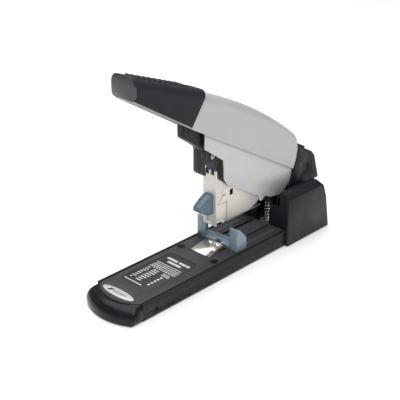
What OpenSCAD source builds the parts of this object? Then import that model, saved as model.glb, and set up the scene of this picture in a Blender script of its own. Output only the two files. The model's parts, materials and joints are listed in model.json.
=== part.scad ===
// Heavy-duty desk stapler with a front-loading staple drawer.
// X runs from the toe (negative) to the rear housing (positive), Z is up,
// and the origin is on the underside of the base, below the line of the driver.

/* [Base] */
// Width of the steel base channel
base_w = 61; // [60:0.5:62]
// Height of the top face of the base
base_h = 17.5; // [17:0.1:18]
// Length from the origin to the front of the toe cap
toe_reach = 143; // [141:1:146]
// Length from the origin to the rear of the housing
rear_reach = 144.5; // [144:0.5:147]
// Thickness of the base sheet
base_sheet = 1.5; // [1.2:0.1:1.6]

/* [Rear housing] */
// Width of the housing over the base
housing_w = 68.4; // [67:0.2:70]
// Height of the outer edge of the housing
housing_edge_h = 52; // [50:1:53]
// Height of the crown beside the arm slot
housing_crown_h = 57; // [56:0.5:58]
// Half width of the slot that the arm swings in
slot_half = 22; // [20:0.5:23]

/* [Pivot] */
// Distance of the main pivot behind the origin
pivot_x = 128; // [127.5:0.1:128.5]
// Height of the main pivot
pivot_z = 66; // [65.8:0.1:66.2]
// Radius of the main pivot pin
pin_r = 3; // [2.5:0.1:3.2]
// Radial running clearance of the pivot holes
pin_play = 0.05; // [0.02:0.01:0.08]

/* [Magazine] */
// Half width of the nickel magazine
mag_half = 8.25; // [8.2:0.01:8.3]
// Wall thickness of the magazine
mag_wall = 1.2; // [1:0.05:1.25]
// Width of a staple over its legs
staple_w = 13; // [12.8:0.1:13.1]
// Length of a staple leg
staple_leg = 15; // [8:1:16]
// Length of the loaded staple strip
strip_l = 52; // [20:2:60]

/* [Handle] */
// Half width of the metal handle cover
cover_half = 12.6; // [12.4:0.1:12.9]
// Half width of the rubber grip
grip_half = 14.4; // [14.2:0.1:14.8]
// Number of ribs on top of the grip
rib_count = 10; // [5:1:11]

/* [Paper guide] */
// Distance of the guide's stop face behind the origin
guide_x = 8.5; // [8.5:0.5:10.5]
// Outer half width of the guide
guide_half = 26.5; // [25.5:0.1:27]

/* [Hidden] */
$fn = 48;
arc_steps = 8;
nose_steps = 40;
base_floor = 0.8;
web_z = base_h - 2.7;
side_half = base_w / 2;
cover_plate_half = side_half - 3.2;
channel_front = -120;
channel_rear = rear_reach - 3;
housing_front = 77;
housing_half = housing_w / 2;
trench_z = 40;
arm_half = 10.5;
arm_wall = 1.2;
cap_in = arm_half;
cap_out = 12.2;
frame_half = 8;
frame_wall = 1.2;
ear_half = 6.5;
ear_t = 2;
lever_half = 5.5;
lever_t = 1.2;
cover_t = 1.2;
front_plate_x = -2.5;
front_plate_t = 1.5;
driver_x = -0.8;
driver_t = 0.9;
crown_z = 61;
track_half = 5.6;
shell_top = 66.5;
rear_floor = 55.8;
notch_z = 96.3;
link_x = -5;
link_z = 117;
spring_x = 86;
spring_top = 41;
lift_spring_x = 72;
badge_x = -121;
guide_top = 41;
anvil_tilt = 7;
anvil_z = 19;
anvil_rear = 8.1;
roll_x = 7;
roll_r = 1.7;
rear_slot_half = 14;
cover_taper = 0.4;
cover_shoulder = 8;
cover_arc = 482.5;
cover_hub = [-190.5, -267.8];
arc_from = 46;
arc_span = 24.5;
grip_shoulder = 8;
grip_slope = 0.375;
rib_pitch = 6.2;
rib_r = 2.2;
label_corner = 6;
seat_r = 8;

// Outlines in the XZ plane. Each point is [x, z, corner radius].
arm_outline = [
    [-20, 147, 0], [-20, 129.5, 2], [5.5, 110.8, 2.5], [6.5, 91, 3], [11, 84.2, 1],
    [57, 57.3, 1], [61, 49, 1.5], [68, 53.4, 2], [75, 49.6, 4], [84, 48, 5], [95, 47, 10], [104.5, 56, 8],
    [110, 66, 5], [116, 54, 3], [136, 54, 8], [141, 66, 7], [136, 78, 8], [110, 73, 2]
];
cap_outline = [
    [115.2, 94, 2], [113.4, 80, 10], [109.2, 69, 10], [102.9, 47.6, 1],
    [152, 47.6, 1.5], [143.5, 75, 5], [138, 81, 3]
];
cap_core = [
    [100, 46], [103.5, 44], [148.5, 44], [141.5, 73.5], [136.5, 79], [114.6, 91.5], [108, 96], [96, 70]
];
cover_outline = [
    [108.2, 70.6, 1], [112.2, 80, 12], [114, 91, 0], [112.6, 107.6, 6], [60, 150.2, 0], [-22, 200, 0],
    [-105.5, 230, 0], [-105.5, 196.6, 0], [-38, 154.8, 0]
];
frame_outline = [
    [120, 57, 6], [134, 57, 6], [138, 67, 6], [131, 77, 6], [101, 97, 4],
    [-60, 190, 2], [-66, 176, 2], [98, 80, 4], [113, 64, 4]
];
lever_outline = [
    [-39.6, 176, 0], [-39.6, 143.5, 5], [-19, 128, 6], [-19.2, 102, 6], [-11, 98.5, 1.5],
    [-14.4, 104, 3], [-14.2, 111, 1], [-1.6, 111, 2], [-1.6, 127, 1], [26, 127, 3], [26, 137.5, 0]
];
shell_outline = [
    [-0.8, 94.8, 0], [0.5, 92, 1], [5, 89.5, 2], [12, 83.5, 1], [58, shell_top, 0], [94, shell_top, 0],
    [94, rear_floor, 0], [64, rear_floor, 0], [57, 48.4, 1.5], [47, 45.6, 2], [13, 45.6, 0],
    [13, 66, 0], [-0.8, 66, 0]
];

// Places in the XZ plane of the pieces that repeat
spacer_places = [[70, 60], [88, 61], [44, 68.3]];
rivet_places = [[-30, 166], [12, 142]];
// The cover is narrower under the grip, so each post also has its own reach along Y
post_places = [[-50, 177, cover_half - cover_t - cover_taper], [88, 100.5, cover_half - cover_t]];

function unit(v) = v / norm(v);

// Ellipse with half lengths a along X and b along Y
function ellipse(a, b) = [for (i = [0:95]) [a * cos(i * 3.75), b * sin(i * 3.75)]];

// Arc of radius r that rounds the corner b between a and c
function corner(a, b, c, r) = r == 0 ? [b] :
    let (u = unit(a - b), v = unit(c - b), half = acos(u * v) / 2,
         hub = b + unit(u + v) * r / sin(half), p = b + u * r / tan(half), q = b + v * r / tan(half),
         start = atan2(p[1] - hub[1], p[0] - hub[0]), end = atan2(q[1] - hub[1], q[0] - hub[0]),
         sweep = (end - start + 540) % 360 - 180)
    [for (i = [0:arc_steps]) hub + r * [cos(start + sweep * i / arc_steps), sin(start + sweep * i / arc_steps)]];

// Outline with each corner rounded by its own radius
function rounded(points) = let (n = len(points), p = [for (q = points) [q[0], q[1]]])
    [for (i = [0:n - 1]) each corner(p[(i + n - 1) % n], p[i], p[(i + 1) % n], points[i][2])];

// XZ outline as a plate between two Y values
module plate(points, y0, y1) {
    translate([0, y1, 0]) rotate([90, 0, 0]) linear_extrude(y1 - y0) polygon(points);
}

// Block with its low corner and high corner given
module block(low, high) {
    translate(low) cube(high - low);
}

// Round bar along Y at a place in the XZ plane
module cross_pin(x, z, r, half) {
    translate([x, 0, z]) rotate([90, 0, 0]) cylinder(h = 2 * half, r = r, center = true);
}

module both_sides() {
    children();
    mirror([0, 1, 0]) children();
}

// Cross-section of a bar with rounded top corners, its top at zero
module bar_section(half, r, depth) {
    union() {
        translate([-half, -depth]) square([2 * half, depth - r]);
        translate([-half + r, -r - 0.01]) square([2 * (half - r), r + 0.01]);
        for (side = [-1, 1]) translate([side * (half - r), -r]) circle(r);
    }
}

// Bar whose top line runs rearwards from p to q
module rounded_bar(p, q, half, r, depth) {
    slope = atan2(q[1] - p[1], q[0] - p[0]);
    translate([p[0], 0, p[1]]) rotate([0, -slope, 0]) rotate([90, 0, 90]) linear_extrude(norm(q - p))
        bar_section(half, r, depth);
}

// Coil of round wire standing on z0, built as one swept tube
module coil(x, z0, height, r, wire, turns) {
    sides = 8;
    per_turn = 16;
    rings = turns * per_turn;
    points = [for (i = [0:rings], j = [0:sides - 1])
        let (turn = i * 360 / per_turn, a = j * 360 / sides, reach = r + wire * cos(a),
             ramp = min(1, max(0, (i - per_turn) / (rings - 2 * per_turn))),
             pitch = min(i, per_turn) / per_turn + max(0, i - rings + per_turn) / per_turn,
             rise = wire + pitch * 2 * wire + ramp * (height - 6 * wire))
        [x + reach * cos(turn), reach * sin(turn), z0 + rise + wire * sin(a)]];
    skin = [for (i = [0:rings - 1], j = [0:sides - 1])
        let (a = i * sides + j, b = i * sides + (j + 1) % sides) each [[a, a + sides, b], [b, a + sides, b + sides]]];
    caps = [[for (j = [0:sides - 1]) j], [for (j = [sides - 1:-1:0]) rings * sides + j]];
    polyhedron(points, concat(skin, caps), convexity = 10);
}

// Plan outline of the base front: an arc that bulges forward of its chord
function nose_plan(half, chord_x, bulge, back_x) =
    let (radius = (half * half + bulge * bulge) / (2 * bulge), reach = asin(half / radius))
    [[back_x, half], for (i = [0:nose_steps]) let (a = reach * (1 - 2 * i / nose_steps))
        [chord_x - bulge + radius * (1 - cos(a)), radius * sin(a)], [back_x, -half]];

// Plan of the label or of its recess, drawn in by inset
module label_plan(inset) {
    polygon(rounded([[-102 + inset, -16.5 + inset, label_corner], [-34 - inset, -16.5 + inset, label_corner],
                     [-34 - inset, 21.5 - inset, label_corner], [-102 + inset, 21.5 - inset, label_corner]]));
}

module top_cover_plan() {
    polygon(nose_plan(cover_plate_half, -toe_reach + 23, 11, housing_front - 0.4));
}

module base_channel() {
    color("#3f424a") difference() {
        block([channel_front, -side_half, base_floor], [channel_rear, side_half, base_h]);
        block([channel_front - 1, -side_half + base_sheet, 0],
              [channel_rear + 1, side_half - base_sheet, web_z - base_sheet]);
        block([channel_front - 1, -side_half + base_sheet, web_z], [channel_rear + 1, side_half - base_sheet, 30]);
        cross_pin(-103, 7, 1.5, 40);
        both_sides() block([-115.5, side_half - 0.5, 6.4], [-103, side_half + 1, 7.6]);
    }
}

module base_bottom_plate() {
    color("#33353b") block([channel_front + 2, -side_half + base_sheet, base_floor],
                           [channel_rear - 2, side_half - base_sheet, base_floor + 1.2]);
}

module base_top_cover() {
    color("#4b4c51") difference() {
        translate([0, 0, web_z]) linear_extrude(base_h - web_z) top_cover_plan();
        translate([0, 0, base_h - 0.4]) linear_extrude(9) label_plan(0);
        translate([badge_x, 1, base_h - 0.8]) linear_extrude(9) polygon(ellipse(5.4, 20.1));
        for (side = [-1, 1]) {
            translate([-19, side * 22, base_h - 1.2]) cylinder(h = 9, r = 4.2);
            translate([-19, side * 22, 0]) cylinder(h = 40, r = 1.9);
            block([20, side * 10 - 1.6, 0], [74, side * 10 + 1.6, 30]);
            block([26, side * 19 - 4.2, base_h - 0.4], [74, side * 19 + 4.2, 30]);
        }
        block([-17, -13.2, 0], [anvil_rear + 0.3, 13.2, 30]);
    }
}

module toe_cap() {
    // Each level is [z, how far the front draws in, how far the sides draw in]
    levels = [[0.8, 1.6, 0.8], [2.6, 0.2, 0], [7, 0, 0], [11, 1.6, 0], [14, 4.4, 0.6], [16, 8.4, 2], [16.9, 12.4, 4.4]];
    color("#383a42") difference() {
        hull() for (level = levels) translate([0, 0, level[0]]) linear_extrude(0.02)
            polygon(nose_plan(side_half - level[2], -toe_reach + 9 + level[1], 9, channel_front));
        translate([0, 0, web_z]) linear_extrude(9) top_cover_plan();
        block([-toe_reach + 14, -side_half + 3, 0], [channel_front + 1, side_half - 3, web_z - 3]);
    }
}

module name_badge() {
    color("#e8e8ea") translate([badge_x, 1, base_h - 0.8]) linear_extrude(1.1) polygon(ellipse(5.2, 19.8));
}

module instruction_plate() {
    color("#46474c") translate([0, 0, base_h - 0.4]) linear_extrude(0.3) label_plan(0.3);
}

module anvil_block() {
    color("#6a6d72") block([-16.5, -12.8, web_z], [anvil_rear, 12.8, base_h - 0.6]);
}

module anvil_plate() {
    color("#d9d4ca") difference() {
        intersection() {
            translate([-2, 0, anvil_z]) rotate([0, -anvil_tilt, 0]) block([-14.3, -12.5, -6], [9.9, 12.5, 0]);
            block([-30, -20, base_h - 0.6], [30, 20, 30]);
        }
        translate([-2, 0, anvil_z]) rotate([0, -anvil_tilt, 0])
            for (side = [-1, 1]) translate([6, side * 4.6, 1.6]) rotate([90, 0, 0])
                cylinder(h = 5.2, r = 2.4, center = true);
    }
}

module cover_screws() {
    color("#2b2c30") for (side = [-1, 1]) translate([-19, side * 22, 0]) difference() {
        union() {
            translate([0, 0, web_z]) cylinder(h = base_h - web_z - 1.2, r = 1.9);
            translate([0, 0, base_h - 1.2]) cylinder(h = 0.9, r = 3.6);
        }
        for (turn = [0, 90]) rotate(turn) block([-2.2, -0.4, base_h - 0.9], [2.2, 0.4, base_h]);
    }
}

module depth_scales() {
    color("#5a5c62") both_sides() block([26.3, 15.1, base_h - 0.4], [73.7, 22.9, base_h]);
}

module rubber_sole() {
    color("#1d1d1f") linear_extrude(base_floor)
        polygon(nose_plan(side_half - 5, channel_front + 12, 8, channel_rear - 4));
}

module tower_bracket() {
    color("#8d9095") difference() {
        union() {
            block([98, -ear_half, web_z], [134, ear_half, web_z + 2]);
            both_sides() plate(rounded([[102, web_z, 0], [134, web_z, 0], [134, 44, 4], [137, 66, 8], [136, 75, 8],
                                        [120, 75, 8], [119, 62, 6]]), ear_half - ear_t, ear_half);
        }
        cross_pin(pivot_x, pivot_z, pin_r, 20);
    }
}

module rear_housing() {
    wall = 2.5;
    outer = [[housing_front, base_floor], [rear_reach, base_floor], [rear_reach - 6, 36],
             [rear_reach - 11, 50], [rear_reach - 16.5, housing_crown_h], [housing_front, housing_crown_h]];
    inner = [[housing_front + wall, -1], [rear_reach - wall - 0.3, -1], [rear_reach - 6 - wall, 35.5],
             [rear_reach - 11 - wall, 48.5], [rear_reach - 17.5, housing_crown_h - wall],
             [housing_front + wall, housing_crown_h - wall]];
    color("#3b3d45") difference() {
        intersection() {
            plate(outer, -housing_half, housing_half);
            rotate([90, 0, 90]) linear_extrude(400, center = true)
                polygon(rounded([[-housing_half, 0, 0], [-housing_half, housing_edge_h, 2],
                                 [-housing_half + 5.5, housing_crown_h, 2], [housing_half - 5.5, housing_crown_h, 2],
                                 [housing_half, housing_edge_h, 2], [housing_half, 0, 0]]));
        }
        both_sides() intersection() {
            plate(inner, slot_half + 2, housing_half - 3);
            block([0, 0, -1], [200, 50, housing_edge_h - 1.5]);
        }
        block([housing_front + wall, -slot_half, -1], [rear_reach - 9.5, slot_half, 90]);
        block([0, -slot_half, trench_z], [100, slot_half, 90]);
        block([100, -rear_slot_half, trench_z], [200, rear_slot_half, 90]);
        block([0, -9, -1], [100, 9, 90]);
        block([0, -side_half - 0.05, -1], [channel_rear + 0.05, side_half + 0.05, base_h + 0.05]);
    }
}

module main_pivot_pin() {
    color("#c9ccd0") cross_pin(pivot_x, pivot_z, pin_r, 10.4);
}

module pivot_clips() {
    color("#2e2f33") both_sides() translate([pivot_x, 4.4, pivot_z]) rotate([90, 0, 0]) difference() {
        cylinder(h = 0.9, r = pin_r + 2);
        translate([0, 0, -1]) cylinder(h = 3, r = pin_r);
    }
}

module spring_seat() {
    color("#5c5f66") translate([spring_x, 0, web_z]) {
        cylinder(h = 1.2, r = seat_r);
        cylinder(h = 8, r = 2.8);
    }
}

module arm_return_spring() {
    color("#d5d7da") coil(spring_x, web_z + 1.2, spring_top - web_z - 1.2, 3.9, 0.65, 8);
}

module paper_guide() {
    wing = rounded([[guide_x, base_h + 0.3, 0], [guide_x, guide_top, 0], [guide_x + 3, guide_top, 1.4],
                    [guide_x + 13.5, 30, 8], [guide_x + 13.5, base_h + 0.3, 1]]);
    color("#9fbcc6") {
        both_sides() {
            block([guide_x, 16, base_h + 0.3], [guide_x + 2, guide_half, guide_top]);
            plate(wing, guide_half - 2, guide_half);
        }
        difference() {
            block([guide_x, -guide_half, base_h + 0.3], [guide_x + 13, guide_half, base_h + 3.3]);
            block([guide_x - 1, -4, base_h], [guide_x + 5, 4, 40]);
        }
    }
}

module guide_runner() {
    color("#75858f") {
        both_sides() block([guide_x + 12, 8.7, web_z + 0.3], [guide_x + 14.4, 11.3, base_h + 0.3]);
        block([guide_x + 10, -11.3, base_h + 3.3], [guide_x + 12.4, 11.3, base_h + 4.3]);
    }
}

module arm_body() {
    outline = rounded(arm_outline);
    color("#c3c5ca") difference() {
        plate(outline, -arm_half, arm_half);
        plate([[-40, 160], [-40, 70], [67, 30], [68.6, 54.8], [75.4, 51], [84, 49.3], [95, 48.4], [98, 50], [98, 30],
               [160, 30], [160, 120]], -arm_half + arm_wall, arm_half - arm_wall);
        cross_pin(pivot_x, pivot_z, pin_r + pin_play, 20);
    }
}

module arm_rear_cap() {
    color("#3d3f47") difference() {
        plate(rounded(cap_outline), -cap_out, cap_out);
        plate(cap_core, -cap_in, cap_in);
        both_sides() translate([pivot_x, cap_out, pivot_z]) rotate([90, 0, 0])
            cylinder(h = 1.2, r = 6.5, center = true);
    }
    color("#35373e") plate([[117, 92.6], [119, 94.4], [133, 86.4], [133, 83]], -7, 7);
}

module magazine_shell() {
    color("#d8d3c9") difference() {
        plate(rounded(shell_outline), -mag_half, mag_half);
        block([-5, -mag_half + mag_wall, 0], [120, mag_half - mag_wall, 130]);
        block([17, -10, 70], [22, 10, 76.5]);
        plate(rounded([[4, 66.8, 0], [7.2, 72.6, 3], [11.2, 73.2, 0], [11.2, 74.4, 0], [6.4, 73.8, 3], [2.9, 67, 0]]),
              -10, 10);
    }
    color("#d8d3c9") block([60, -mag_half, shell_top - 1.2], [94, mag_half, shell_top]);
}

module magazine_spacers() {
    color("#b9bbbe") both_sides() for (place = spacer_places)
        translate([place[0], mag_half, place[1]]) rotate([-90, 0, 0])
            cylinder(h = arm_half - arm_wall - mag_half, r = 2.2);
}

module track_end_plate() {
    color("#cfd1d4") block([92, -mag_half + mag_wall, rear_floor], [93.2, mag_half - mag_wall, shell_top - 1.2]);
}

module spring_top_cup() {
    color("#33353b") difference() {
        translate([spring_x, 0, spring_top]) cylinder(h = 12, r = 7.4);
        plate(rounded(arm_outline), -arm_half, arm_half);
    }
}

module handle_frame() {
    outline = rounded(frame_outline);
    color("#6f7278") difference() {
        plate(outline, -frame_half, frame_half);
        translate([-0.8, 0, -1.2]) plate(outline, -frame_half + frame_wall, frame_half - frame_wall);
        plate([[95, 0], [160, 0], [160, 120], [95, 98]], -frame_half + frame_wall, frame_half - frame_wall);
        plate([[-70, 168], [-70, 184], [110, 78], [110, 60]], -frame_half + frame_wall, frame_half - frame_wall);
        cross_pin(pivot_x, pivot_z, pin_r + pin_play, 20);
        for (place = rivet_places) cross_pin(place[0], place[1], 2, 20);
    }
}

// Arched top of the metal cover, drawn in by inset. Under the grip it is straight, and a little smaller
module cover_bar(inset) {
    translate([0, 0, -cover_taper - inset])
        rounded_bar([-107, 216], [-22, 184.3], cover_half - cover_taper - inset, 4 - inset, 60);
    translate([cover_hub[0], 0, cover_hub[1]]) rotate([90, 0, 0]) rotate(arc_from)
        rotate_extrude(angle = arc_span, $fn = 360) translate([cover_arc - inset, 0]) rotate(-90)
            bar_section(cover_half - inset, cover_shoulder - inset, 60);
}

// Outer form of the metal cover, which the rubber grip is moulded over
module cover_form() {
    intersection() {
        plate(rounded(cover_outline), -cover_half, cover_half);
        cover_bar(0);
    }
}

module handle_cover() {
    inside = cover_half - cover_t;
    color("#c8cacf") difference() {
        cover_form();
        intersection() {
            plate([[140, 39], [140, 130], [-104, 240], [-104, 189], [-40, 149]], -inside, inside);
            cover_bar(cover_t);
        }
    }
}

// Outer form of the rubber grip and its end cap
module grip_form() {
    rounded_bar([-108, 219.9], [-8, 182.4], grip_half, grip_shoulder, 60);
}

module handle_grip() {
    color("#2c2e35") {
        difference() {
            intersection() {
                plate([[-40.5, 158], [-18, 190], [-105.5, 223], [-105.5, 198.4]], -grip_half, grip_half);
                grip_form();
            }
            cover_form();
        }
        for (i = [0:rib_count - 1])
            cross_pin(-97 + i * rib_pitch, 214.7 - i * rib_pitch * grip_slope, rib_r, 7.5);
    }
}

module handle_end_cap() {
    color("#26272c") intersection() {
        plate(rounded([[-105.5, 197.5, 0], [-107.5, 198.4, 1.5], [-107.5, 219, 2], [-105.5, 221.5, 0]]),
              -grip_half, grip_half);
        grip_form();
        rotate([90, 0, 90]) linear_extrude(400, center = true)
            polygon(rounded([[-grip_half, 197.5, 6], [grip_half, 197.5, 6],
                             [grip_half, 230, 0], [-grip_half, 230, 0]]));
    }
}

module drive_lever() {
    outer = rounded(lever_outline);
    color("#34363d") difference() {
        plate(outer, -lever_half, lever_half);
        translate([1.3, 0, 0.6]) plate(rounded([
            [-39.6, 190, 0], [-39.6, 143.5, 5], [-19, 128, 6], [-19.2, 102, 5], [-13, 99.5, 0], [-2, 93, 0],
            [60, 90, 0], [60, 190, 0]]), -lever_half + lever_t, lever_half - lever_t);
        cross_pin(link_x, link_z, 2, 20);
        for (place = rivet_places) cross_pin(place[0], place[1], 2, 20);
    }
}

module lever_rivets() {
    color("#b9bbbe") for (place = rivet_places) cross_pin(place[0], place[1], 2, 8.6);
}

module drive_link_pin() {
    color("#d0d2d5") {
        cross_pin(link_x, link_z, 2, 6.1);
        both_sides() translate([link_x, 6.1, link_z]) rotate([90, 0, 0]) cylinder(h = 0.5, r = 2.8);
    }
}

module handle_return_spring() {
    color("#d5d7da") coil(lift_spring_x, shell_top, 42, 4.4, 0.6, 9);
}

module driver_plate() {
    color("#6b6e72") block([driver_x, -staple_w / 2 + 0.1, 66], [driver_x + driver_t, staple_w / 2 - 0.1, 124]);
}

module driver_head() {
    ear = rounded([[driver_x, 124, 0], [driver_x - 14.5, 124, 2], [driver_x - 14.5, 113, 2], [driver_x - 2.2, 113, 0],
                   [driver_x - 2.2, 119.4, 0], [driver_x, 119.4, 0]]);
    slot_r = 2.3;
    color("#7b7e83") both_sides() difference() {
        plate(ear, 2.8, 3.9);
        for (x = [0:1]) cross_pin(link_x + 0.3 - x * 7.2, link_z, slot_r, 10);
        block([link_x - 6.9, 0, link_z - slot_r], [link_x + 0.3, 6, link_z + slot_r]);
    }
}

module drawer_front() {
    skirt = rounded([[front_plate_x + front_plate_t, 65.6, 0], [front_plate_x + front_plate_t, 52.5, 0],
                     [8, 43.6, 1.5], [12.1, 46, 0], [12.1, 65.6, 0]]);
    color("#dad5cb") {
        difference() {
            block([front_plate_x, -mag_half, 43.3], [front_plate_x + front_plate_t, mag_half, 101]);
            block([-9, -5.8, notch_z], [9, -1, 120]);
            block([-9, 1, notch_z], [9, 5.8, 120]);
            translate([-9, 1, 47.5]) rotate([0, 90, 0]) cylinder(h = 20, r = 0.6);
        }
        both_sides() plate(skirt, mag_half - mag_wall, mag_half);
    }
}

module drawer_rails() {
    color("#b9bbbe") both_sides() {
        block([12.45, mag_half - mag_wall - 0.25, 44.2], [64, mag_half, 45.2]);
        block([8.4, mag_half - mag_wall - 0.25, 44.2], [12.45, mag_half - mag_wall, 52]);
    }
}

module cover_posts() {
    color("#8d9095") both_sides() for (place = post_places)
        translate([place[0], place[2], place[1]]) rotate([90, 0, 0])
            cylinder(h = place[2] - frame_half, r = 2);
}

module drawer_knob() {
    color("#7f95a3") intersection() {
        plate(rounded([[front_plate_x, 56, 0], [-10.5, 57, 2], [-22, 64, 2.5], [-21, 68, 2.5],
                       [-5.5, 76, 2], [front_plate_x, 76, 0]]), -5, 5);
        linear_extrude(100) polygon([[front_plate_x, -5], [front_plate_x, 5], [-12, 5],
                                                       [-24, 3], [-24, -3], [-12, -5]]);
    }
}

module staple_track() {
    top = crown_z - 0.7;
    color("#c5c7ca") difference() {
        plate([[1, 46], [57, 46], [63, rear_floor], [92, rear_floor], [92, top], [1, top]], -track_half, track_half);
        block([0, -track_half + 0.9, 0], [95, track_half - 0.9, top - 0.9]);
    }
}

module staple_strip() {
    wire = 0.7;
    color("#c9cbce") difference() {
        block([0.5, -staple_w / 2, crown_z - staple_leg], [0.5 + strip_l, staple_w / 2, crown_z]);
        block([0, -staple_w / 2 + wire, 0], [90, staple_w / 2 - wire, crown_z - wire]);
    }
}

module staple_pusher() {
    front = 0.5 + strip_l;
    color("#3a3c42") difference() {
        block([front, -staple_w / 2, rear_floor + 0.2], [front + 14, staple_w / 2, crown_z + 2.5]);
        cross_pin(front + roll_x, crown_z + roll_r, roll_r, 4.5);
        block([0, -track_half - 0.15, 0], [120, track_half + 0.15, crown_z - 0.5]);
    }
}

module pusher_coil_spring() {
    color("#b9bbbe") cross_pin(0.5 + strip_l + roll_x, crown_z + roll_r, roll_r, 4.5);
}

base_channel();
base_bottom_plate();
base_top_cover();
toe_cap();
name_badge();
instruction_plate();
anvil_block();
anvil_plate();
cover_screws();
depth_scales();
rubber_sole();
tower_bracket();
rear_housing();
main_pivot_pin();
pivot_clips();
spring_seat();
spring_top_cup();
arm_return_spring();
paper_guide();
guide_runner();
arm_body();
arm_rear_cap();
magazine_shell();
magazine_spacers();
track_end_plate();
handle_frame();
handle_cover();
handle_grip();
handle_end_cap();
drive_lever();
lever_rivets();
cover_posts();
drive_link_pin();
handle_return_spring();
driver_plate();
driver_head();
drawer_front();
drawer_rails();
drawer_knob();
staple_track();
staple_strip();
staple_pusher();
pusher_coil_spring();
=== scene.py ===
"""Looks for the heavy-duty desk stapler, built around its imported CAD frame."""
import json
import math
import random

import bmesh
import bpy
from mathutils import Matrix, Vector


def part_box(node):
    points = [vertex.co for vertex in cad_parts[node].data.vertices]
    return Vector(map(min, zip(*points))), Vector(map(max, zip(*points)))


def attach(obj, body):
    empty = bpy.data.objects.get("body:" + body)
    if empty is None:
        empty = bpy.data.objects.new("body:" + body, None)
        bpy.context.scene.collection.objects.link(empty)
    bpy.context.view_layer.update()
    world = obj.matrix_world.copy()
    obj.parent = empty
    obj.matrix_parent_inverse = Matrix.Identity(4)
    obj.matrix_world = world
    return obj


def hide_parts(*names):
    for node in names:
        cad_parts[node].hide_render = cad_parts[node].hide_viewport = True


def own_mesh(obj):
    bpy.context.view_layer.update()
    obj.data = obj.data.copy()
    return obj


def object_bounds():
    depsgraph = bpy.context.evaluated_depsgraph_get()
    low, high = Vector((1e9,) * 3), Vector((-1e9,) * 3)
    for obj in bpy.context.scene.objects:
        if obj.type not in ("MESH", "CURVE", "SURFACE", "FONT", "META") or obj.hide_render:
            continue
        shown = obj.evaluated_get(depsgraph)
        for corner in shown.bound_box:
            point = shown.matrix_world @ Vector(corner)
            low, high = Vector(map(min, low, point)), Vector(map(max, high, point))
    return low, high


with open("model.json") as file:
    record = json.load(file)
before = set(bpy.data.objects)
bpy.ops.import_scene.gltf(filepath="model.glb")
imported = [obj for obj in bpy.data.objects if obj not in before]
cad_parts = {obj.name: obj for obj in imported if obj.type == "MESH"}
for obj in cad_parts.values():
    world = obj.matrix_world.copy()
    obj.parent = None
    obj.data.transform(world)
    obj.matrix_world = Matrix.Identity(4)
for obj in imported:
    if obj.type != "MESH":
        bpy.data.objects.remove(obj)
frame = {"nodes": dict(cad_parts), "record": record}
cad_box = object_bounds()

MM = 0.001
NODES = frame["nodes"]
RANDOM = random.Random(7)

# ------------------------------------------------------------------ camera

VIEW_TARGET = Vector((-0.01573, 0.0, 0.07398))
VIEW_AZIMUTH = math.radians(-46.16)
VIEW_ELEVATION = math.radians(25.78)
VIEW_DISTANCE = 0.9223
LENS = 87.93
SENSOR = 36.0


def make_camera():
    """Puts the camera front left and above, looking at the target."""
    back = Vector((
        math.sin(VIEW_AZIMUTH) * math.cos(VIEW_ELEVATION),
        -math.cos(VIEW_AZIMUTH) * math.cos(VIEW_ELEVATION),
        math.sin(VIEW_ELEVATION),
    ))
    data = bpy.data.cameras.new("camera")
    data.lens = LENS
    data.sensor_width = SENSOR
    data.dof.use_dof = False
    camera = bpy.data.objects.new("camera", data)
    camera.location = VIEW_TARGET + back * VIEW_DISTANCE
    camera.rotation_euler = (-back).to_track_quat("-Z", "Y").to_euler()
    bpy.context.scene.collection.objects.link(camera)
    bpy.context.scene.camera = camera


# --------------------------------------------------------------- materials

def grey(value, tint=(1.0, 1.0, 1.0)):
    """Linear colour with the same value in each channel, times a tint."""
    return tuple(value * t for t in tint)


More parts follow.
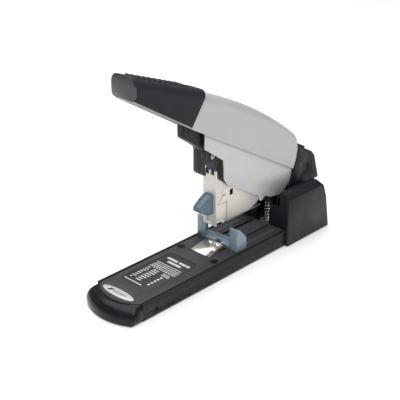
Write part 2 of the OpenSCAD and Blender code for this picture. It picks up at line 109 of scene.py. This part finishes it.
class Surface:
    """A Principled material whose colour, roughness and bump come from procedural noise."""

    def __init__(self, name, colour, roughness, metallic=0.0, **sockets):
        self.material = bpy.data.materials.new(name)
        self.material.use_nodes = True
        self.tree = self.material.node_tree
        self.shader = self.tree.nodes["Principled BSDF"]
        self.colour = colour
        self.roughness = roughness
        self.shader.inputs["Base Color"].default_value = (*colour, 1)
        self.shader.inputs["Roughness"].default_value = roughness
        self.shader.inputs["Metallic"].default_value = metallic
        for socket, value in sockets.items():
            self.shader.inputs[socket.replace("_", " ")].default_value = value
        self.place = self.tree.nodes.new("ShaderNodeTexCoord").outputs["Object"]
        self.normal = None
        self.colour_out = None

    def node(self, kind, links=(), **values):
        """New node with its values set and its inputs linked."""
        new = self.tree.nodes.new(kind)
        for key, value in values.items():
            setattr(new, key, value)
        for socket, source in links:
            self.tree.links.new(source, new.inputs[socket])
        return new

    def noise(self, scale, detail=3.0, stretch=(1, 1, 1)):
        """Noise over the piece, in the frame's own metres."""
        mapping = self.node("ShaderNodeMapping", [("Vector", self.place)])
        mapping.inputs["Scale"].default_value = stretch
        noise = self.node("ShaderNodeTexNoise", [("Vector", mapping.outputs["Vector"])])
        noise.inputs["Scale"].default_value = scale
        noise.inputs["Detail"].default_value = detail
        return noise.outputs["Fac"]

    def remap(self, value, low, high, to_low, to_high):
        """A value stretched from one range onto another, and clamped."""
        mapped = self.node("ShaderNodeMapRange", [("Value", value)])
        for socket, number in zip(("From Min", "From Max", "To Min", "To Max"), (low, high, to_low, to_high)):
            mapped.inputs[socket].default_value = number
        return mapped.outputs["Result"]

    def blend_colour(self, factor, colour):
        """Lays a second colour over what is there, by factor."""
        mix = self.node("ShaderNodeMix", [(0, factor)], data_type="RGBA")
        if self.colour_out is None:
            mix.inputs[6].default_value = (*self.colour, 1)
        else:
            self.tree.links.new(self.colour_out, mix.inputs[6])
        mix.inputs[7].default_value = (*colour, 1)
        self.colour_out = mix.outputs[2]
        self.tree.links.new(self.colour_out, self.shader.inputs["Base Color"])
        return self

    def mottle(self, scale=35.0, amount=0.12):
        """Slow change of tone across the surface."""
        factor = self.remap(self.noise(scale), 0.35, 0.65, 0.0, 1.0)
        return self.blend_colour(factor, grey(1 + amount, self.colour))

    def uneven_gloss(self, scale=60.0, amount=0.06):
        """Patches that are a little duller or glossier."""
        low = max(0.02, self.roughness - amount)
        rough = self.remap(self.noise(scale, 4.0), 0.3, 0.7, low, self.roughness + amount)
        self.tree.links.new(rough, self.shader.inputs["Roughness"])
        return self

    def grain(self, size_mm, depth_mm, strength=0.5, stretch=(1, 1, 1)):
        """Fine surface texture with grains of about that size."""
        height = self.noise(1000.0 / size_mm, 2.0, stretch)
        bump = self.node("ShaderNodeBump", [("Height", height)])
        bump.inputs["Strength"].default_value = strength
        bump.inputs["Distance"].default_value = depth_mm * MM
        if self.normal is not None:
            self.tree.links.new(self.normal, bump.inputs["Normal"])
        self.normal = bump.outputs["Normal"]
        self.tree.links.new(self.normal, self.shader.inputs["Normal"])
        return self

    def edge_wear_and_highlight(self, colour, radius_mm=0.5, amount=0.6):
        """Lighter edges where two faces meet: rubbed wear on some finishes, a painted highlight on others."""
        bevel = self.node("ShaderNodeBevel", samples=4)
        bevel.inputs["Radius"].default_value = radius_mm * MM
        true_normal = self.node("ShaderNodeNewGeometry").outputs["True Normal"]
        facing = self.node("ShaderNodeVectorMath", [(0, bevel.outputs["Normal"]), (1, true_normal)],
                           operation="DOT_PRODUCT")
        edge = self.remap(facing.outputs["Value"], 0.72, 0.97, amount, 0.0)
        patches = self.remap(self.noise(180.0, 5.0), 0.4, 0.6, 0.1, 1.0)
        patchy = self.node("ShaderNodeMath", [(0, edge), (1, patches)], operation="MULTIPLY")
        return self.blend_colour(patchy.outputs["Value"], colour)


# Tints of the blacks and of the nickel
COOL = (0.86, 0.92, 1.22)
WARM = (1.06, 1.0, 0.92)


def make_materials():
    """Every material on the stapler, by name."""
    rubbed = grey(0.09, COOL)
    made = {
        "black_paint": Surface("black_paint", grey(0.012, COOL), 0.38, Specular_IOR_Level=0.22)
        .mottle().uneven_gloss().grain(0.9, 0.03, 0.35).edge_wear_and_highlight(rubbed, 0.5, 0.5),
        "charcoal_plastic": Surface("charcoal_plastic", grey(0.040, (0.98, 0.97, 1.05)), 0.48, Specular_IOR_Level=0.3)
        .mottle(50, 0.1).uneven_gloss().grain(0.45, 0.03, 0.5).edge_wear_and_highlight(rubbed, 0.3, 0.25),
        "black_gloss_plastic": Surface("black_gloss_plastic", grey(0.008, COOL), 0.24, Specular_IOR_Level=0.22)
        .mottle().uneven_gloss(70, 0.04).grain(1.4, 0.02, 0.15),
        "black_plastic": Surface("black_plastic", grey(0.012, COOL), 0.42, Specular_IOR_Level=0.16)
        .mottle(40, 0.15).uneven_gloss().grain(0.5, 0.035, 0.5).edge_wear_and_highlight(rubbed, 0.4, 0.4),
        # lever_paint: its pale grey edges are a painted highlight along the lever's contour
        "lever_paint": Surface("lever_paint", grey(0.013, COOL), 0.36, Specular_IOR_Level=0.24)
        .mottle().uneven_gloss().grain(0.9, 0.02, 0.3).edge_wear_and_highlight(grey(0.45), 0.7, 1.0),
        "silver_cover": Surface("silver_cover", grey(0.42), 0.36, 0.12, Coat_Weight=0.35, Coat_Roughness=0.2)
        .mottle(20, 0.05).uneven_gloss(90, 0.05).grain(0.18, 0.012, 0.35),
        "end_gloss": Surface("end_gloss", grey(0.016, COOL), 0.20, Specular_IOR_Level=0.75)
        .mottle().uneven_gloss(70, 0.05).grain(1.4, 0.02, 0.15),
        "grip_rubber": Surface("grip_rubber", grey(0.013, COOL), 0.56, Specular_IOR_Level=0.22, Sheen_Weight=0.06,
                               Sheen_Roughness=0.4)
        .mottle(45, 0.2).uneven_gloss().grain(0.3, 0.03, 0.5),
        "foot_rubber": Surface("foot_rubber", grey(0.02), 0.75).mottle().grain(0.4, 0.05, 0.6),
        # silver_paint: its lighter edges are partly rubbed paint and partly a painted highlight on the arm's fold
        # strips
        "silver_paint": Surface("silver_paint", grey(0.50), 0.36, 0.12, Coat_Weight=0.35, Coat_Roughness=0.2)
        .mottle(20, 0.05).uneven_gloss(90, 0.05).grain(0.18, 0.012, 0.35).edge_wear_and_highlight(grey(0.75), 0.4, 0.4),
        "nickel_plate": Surface("nickel_plate", grey(0.64, WARM), 0.40, 0.35)
        .mottle(60, -0.04).uneven_gloss(120, 0.05).grain(0.25, 0.008, 0.25, (1, 1, 14)),
        "bright_nickel": Surface("bright_nickel", grey(0.72, WARM), 0.2, 1.0)
        .mottle(60, -0.06).uneven_gloss(150, 0.03).grain(0.3, 0.001, 0.2, (12, 1, 1)),
        "zinc_steel": Surface("zinc_steel", grey(0.32), 0.4, 1.0)
        .mottle(60, 0.2).uneven_gloss(90, 0.1).grain(0.4, 0.015, 0.3),
        "tool_steel": Surface("tool_steel", grey(0.05, COOL), 0.34, 1.0)
        .mottle(70, 0.3).uneven_gloss(120, 0.08).grain(0.2, 0.012, 0.4, (1, 1, 20)),
        "dark_screws": Surface("dark_screws", grey(0.035), 0.32, 1.0)
        .mottle(90, 0.3).uneven_gloss().edge_wear_and_highlight(grey(0.3), 0.25, 0.7),
        "spring_wire": Surface("spring_wire", grey(0.70), 0.16, 1.0)
        .mottle(120, -0.15).uneven_gloss(200, 0.06).grain(0.2, 0.006, 0.3),
        "staple_wire": Surface("staple_wire", grey(0.5), 0.3, 1.0).mottle(150, 0.2).uneven_gloss(),
        "blue_plastic": Surface("blue_plastic", (0.175, 0.245, 0.295), 0.28, Subsurface_Weight=0.1,
                                Subsurface_Scale=0.002, Coat_Weight=0.15)
        .mottle(50, 0.12).uneven_gloss(80, 0.05).grain(0.8, 0.015, 0.2),
        "slate_plastic": Surface("slate_plastic", (0.068, 0.115, 0.150), 0.3, Coat_Weight=0.15)
        .mottle(60, 0.15).uneven_gloss(80, 0.05).grain(0.8, 0.015, 0.2),
        "badge_plate": Surface("badge_plate", grey(0.52), 0.3, 0.1).mottle(80, 0.05).uneven_gloss()
        .grain(0.2, 0.01, 0.2),
        "label_film": Surface("label_film", grey(0.028), 0.40, Specular_IOR_Level=0.3).mottle(60, 0.1)
        .uneven_gloss().grain(0.35, 0.015, 0.3),
        "print_white": Surface("print_white", grey(0.72), 0.5).mottle(300, -0.2).uneven_gloss(),
        "print_grey": Surface("print_grey", grey(0.16), 0.5).mottle(300, 0.2).uneven_gloss(),
        "print_dark": Surface("print_dark", grey(0.03, COOL), 0.45).mottle(300, 0.2).uneven_gloss(),
    }
    return {name: surface.material for name, surface in made.items()}


MATERIALS = make_materials()


def set_material(piece, name):
    """Gives a piece one material in place of any it has."""
    piece.data.materials.clear()
    piece.data.materials.append(MATERIALS[name])


# -------------------------------------------------------- carried-over CAD

SMOOTH_ANGLE = math.radians(32)
# Nodes with a finish of their own in place of their slot's
OWN_MATERIAL = {"handle_end_cap": "end_gloss", "drive_lever": "lever_paint", "handle_cover": "silver_cover"}
# Edge radius in mm of each node that shows, by what it is made of
EDGE_RADIUS = {
    "rear_housing": 0.9, "arm_rear_cap": 0.6, "handle_end_cap": 0.5, "base_channel": 0.35, "base_top_cover": 0.25,
    "drawer_knob": 1.0, "paper_guide": 0.4, "anvil_plate": 0.2, "drawer_front": 0.2, "magazine_shell": 0.15,
    "instruction_plate": 0.05, "name_badge": 0.2, "drive_lever": 0.4, "arm_body": 0.2, "toe_cap": 0.3,
}


def soften(piece, radius_mm):
    """Joins the loose faces, rounds the sharp edges and shades the rest smoothly."""
    for polygon in piece.data.polygons:
        polygon.use_smooth = True
    weld = piece.modifiers.new("weld", "WELD")
    weld.merge_threshold = 0.002 * MM
    bevel = piece.modifiers.new("edges", "BEVEL")
    bevel.limit_method = "ANGLE"
    bevel.angle_limit = SMOOTH_ANGLE
    bevel.width = radius_mm * MM
    bevel.segments = 2
    bevel.use_clamp_overlap = True
    bevel.harden_normals = True


def dress_frame():
    """Gives each CAD node the material of its slot and its rounded edges."""
    slots = {s["node"]: s["material_slot"] for s in frame["record"]["subparts"]}
    for name, piece in NODES.items():
        set_material(piece, OWN_MATERIAL.get(name, slots[name]))
        if name in EDGE_RADIUS:
            soften(piece, EDGE_RADIUS[name])


# ------------------------------------------------------------------ pieces

def add_piece(name, mesh, material, body, smooth=False):
    """New piece with a mesh, riding on a body."""
    piece = bpy.data.objects.new(name, mesh)
    bpy.context.scene.collection.objects.link(piece)
    for polygon in mesh.polygons:
        polygon.use_smooth = smooth
    set_material(piece, material)
    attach(piece, body)
    return piece


def box_mesh(name, boxes, bevel_mm=0.0):
    """One mesh made of many separate boxes, each a low and a high corner in mm."""
    work = bmesh.new()
    for low, high in boxes:
        cube = bmesh.ops.create_cube(work, size=1.0)["verts"]
        for vertex in cube:
            share = [c + 0.5 for c in vertex.co]
            vertex.co = [(lo + (hi - lo) * s) * MM for lo, hi, s in zip(low, high, share)]
    if bevel_mm:
        bmesh.ops.bevel(work, geom=work.edges[:], offset=bevel_mm * MM, segments=1, affect="EDGES")
    mesh = bpy.data.meshes.new(name)
    work.to_mesh(mesh)
    work.free()
    return mesh


def tube_mesh(name, points, radius, sides):
    """Round wire swept along points, with its ends closed. All in metres."""
    work = bmesh.new()
    rings = []
    for i, point in enumerate(points):
        ahead = (points[min(i + 1, len(points) - 1)] - points[max(i - 1, 0)]).normalized()
        across = ahead.cross(Vector((0, 0, 1))).normalized()
        up = across.cross(ahead)
        rings.append([
            work.verts.new(point + radius * (math.cos(a) * across + math.sin(a) * up))
            for a in (2 * math.pi * k / sides for k in range(sides))
        ])
    for first, second in zip(rings, rings[1:]):
        for k in range(sides):
            work.faces.new((first[k], first[(k + 1) % sides], second[(k + 1) % sides], second[k]))
    work.faces.new(list(reversed(rings[0])))
    work.faces.new(rings[-1])
    bmesh.ops.recalc_face_normals(work, faces=work.faces)
    mesh = bpy.data.meshes.new(name)
    work.to_mesh(mesh)
    work.free()
    return mesh


COIL_STEPS = 40
WIRE_SIDES = 12


def coil_points(node, wire, turns):
    """Centreline of a compression spring with closed ends that fills a node's box."""
    low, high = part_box(node)
    middle = (low + high) / 2
    reach = (high.x - low.x) / 2 - wire
    rise = high.z - low.z - 2 * wire
    closed = 2.1 * wire
    points = []
    for i in range(turns * COIL_STEPS + 1):
        turn = i / COIL_STEPS
        ends = min(turn, 1) + max(0, turn - turns + 1)
        ramp = min(1, max(0, (turn - 1) / (turns - 2)))
        height = low.z + wire + ends * closed + ramp * (rise - 2 * closed)
        angle = 2 * math.pi * turn
        points.append(Vector((middle.x + reach * math.cos(angle), middle.y + reach * math.sin(angle), height)))
    return points


def make_spring(name, node, body, wire, turns):
    """Bright spring in place of the plain one."""
    mesh = tube_mesh(name, coil_points(node, wire, turns), wire, WIRE_SIDES)
    spring = add_piece(name, mesh, "spring_wire", body, smooth=True)
    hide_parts(node)
    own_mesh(spring)


def make_springs():
    make_spring("return_spring_coil", "arm_return_spring", "base", 0.65 * MM, 8)
    make_spring("handle_spring_coil", "handle_return_spring", "arm", 0.6 * MM, 9)


def make_staples():
    """Strip of single staples, each a crown and two legs, glued side by side."""
    low, high = (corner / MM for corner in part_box("staple_strip"))
    wire, pitch = 0.7, 0.74
    boxes = []
    for i in range(int((high.x - low.x) / pitch)):
        front = low.x + i * pitch
        back = front + wire
        boxes.append(((front, low.y, high.z - wire), (back, high.y, high.z)))
        boxes.append(((front, low.y, low.z), (back, low.y + wire, high.z - wire)))
        boxes.append(((front, high.y - wire, low.z), (back, high.y, high.z - wire)))
    staples = add_piece("staples", box_mesh("staples", boxes, 0.05), "staple_wire", "arm")
    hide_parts("staple_strip")


# ----------------------------------------------------------- printed marks

INK = 0.06


def dashes(x, depth, start, end, shortest, longest, gap):
    """Row of marks of uneven length, laid from start to end along Y, as (x0, x1, y0, y1)."""
    row = []
    y = start
    while y - shortest > end:
        length = min(RANDOM.uniform(shortest, longest), y - end)
        row.append((x - depth / 2, x + depth / 2, y - length, y))
        y -= length + gap
    return row


def print_marks(name, marks, top_mm, material):
    """Thin printed marks lying on a surface of the base."""
    boxes = [((x0, y0, top_mm), (x1, y1, top_mm + INK)) for x0, x1, y0, y1 in marks]
    add_piece(name, box_mesh(name, boxes), material, "base")


def make_label_print():
    """Generic label: a heading, lines of marks, two columns and a row of squares."""
    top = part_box("instruction_plate")[1].z / MM
    marks = dashes(-44.2, 3.0, 15.4, 1.6, 1.2, 2.2, 0.45) + dashes(-44.2, 3.0, -0.4, -13.4, 1.2, 2.2, 0.45)
    marks += dashes(-49.6, 3.0, 9.8, -8.2, 1.2, 2.2, 0.45)
    for x in (-55.6, -58.4, -61.0, -63.4, -65.6):
        start, end = RANDOM.uniform(16.0, 18.0), RANDOM.uniform(-16.0, -12.0)
        marks += dashes(x, 0.95, start, end, 0.5, 3.2, 0.5)
    for i in range(8):
        x = -69.3 - i * 3.2
        marks += dashes(x, 1.25, 16.6, 12.4, 1.6, 4.2, 0.5)
        marks += dashes(x, 1.25, 9.2, 0.4 + 0.35 * i, 2.4, 5.0, 0.4)
    marks += dashes(-97.3, 1.2, 18.4, -3.9, 3.0, 7.0, 0.3)
    marks += [(x - 1.1, x + 1.1, -9.2, -7.0) for x in (-75.8, -79.8, -83.8, -87.8, -91.8)]
    for x in (-69.3, -71.9):
        marks += dashes(x, 1.2, -4.0, -13.6, 1.0, 2.6, 0.45)
    print_marks("label_print", marks, top, "print_white")


def make_badge_print():
    """Generic badge: a slanted block and two plain bars."""
    low, high = (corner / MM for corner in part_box("name_badge"))
    x = (low.x + high.x) / 2
    y = (low.y + high.y) / 2
    steps = 7
    block = [(x - 2.4 + 0.6 * i, x - 1.8 + 0.6 * i, y + 9.6 - 0.55 * i, y + 12.6 - 0.3 * i) for i in range(steps)]
    print_marks("badge_block", block, high.z, "print_dark")
    bars = [(x - 0.4, x + 1.0, y - 10.6, y + 6.6), (x - 2.2, x - 1.6, y - 7.0, y + 6.6)]
    print_marks("badge_bars", bars, high.z, "print_grey")


def make_depth_ticks():
    """Ladder of fine lines on both depth scales, every fifth one longer."""
    low, high = (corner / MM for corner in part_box("depth_scales"))
    inner, outer, pitch = 15.9, 22.2, 2.0
    ticks = []
    for i in range(int((high.x - low.x - 2) / pitch) + 1):
        x = low.x + 1.0 + i * pitch
        near = inner if i % 5 == 0 else inner + 1.8
        ticks.append((x - 0.22, x + 0.22, near, outer))
        ticks.append((x - 0.22, x + 0.22, -outer, -near))
    print_marks("depth_ticks", ticks, high.z, "print_grey")


# ---------------------------------------------------------- floor and light

FLOOR_RADIUS = 4.0
WORLD_STRENGTH = 0.30
# Each softbox is its place, its size in metres and its power in watts
SOFTBOXES = {
    "key": ((-0.7, -0.8, 1.5), 0.35, 15),
    "top": ((0.1, 0.3, 2.0), 2.6, 50),
}


def make_floor():
    """Plain pale floor."""
    floor_material = Surface("floor", grey(0.9), 0.9).mottle(3, 0.02).grain(4, 0.05, 0.1).material
    work = bmesh.new()
    bmesh.ops.create_circle(work, cap_ends=True, radius=FLOOR_RADIUS, segments=96)
    mesh = bpy.data.meshes.new("floor")
    work.to_mesh(mesh)
    work.free()
    floor = bpy.data.objects.new("floor", mesh)
    bpy.context.scene.collection.objects.link(floor)
    floor.data.materials.append(floor_material)
    floor.location.z = cad_box[0][2]


def add_softbox(name, place, size, power):
    """Square area light aimed at the stapler."""
    data = bpy.data.lights.new(name, "AREA")
    data.shape = "SQUARE"
    data.size = size
    data.energy = power
    light = bpy.data.objects.new(name, data)
    light.location = place
    light.rotation_euler = (VIEW_TARGET - Vector(place)).to_track_quat("-Z", "Y").to_euler()
    bpy.context.scene.collection.objects.link(light)


def make_light():
    """Dim even surroundings, a small key light and a wide one overhead."""
    world = bpy.data.worlds.new("studio")
    world.use_nodes = True
    world.node_tree.nodes["Background"].inputs["Color"].default_value = (1, 1, 1, 1)
    world.node_tree.nodes["Background"].inputs["Strength"].default_value = WORLD_STRENGTH
    bpy.context.scene.world = world
    for name, (place, size, power) in SOFTBOXES.items():
        add_softbox(name, place, size, power)
    bpy.context.scene.view_settings.view_transform = "Standard"


make_camera()
dress_frame()
make_springs()
make_staples()
make_label_print()
make_badge_print()
make_depth_ticks()
make_floor()
make_light()
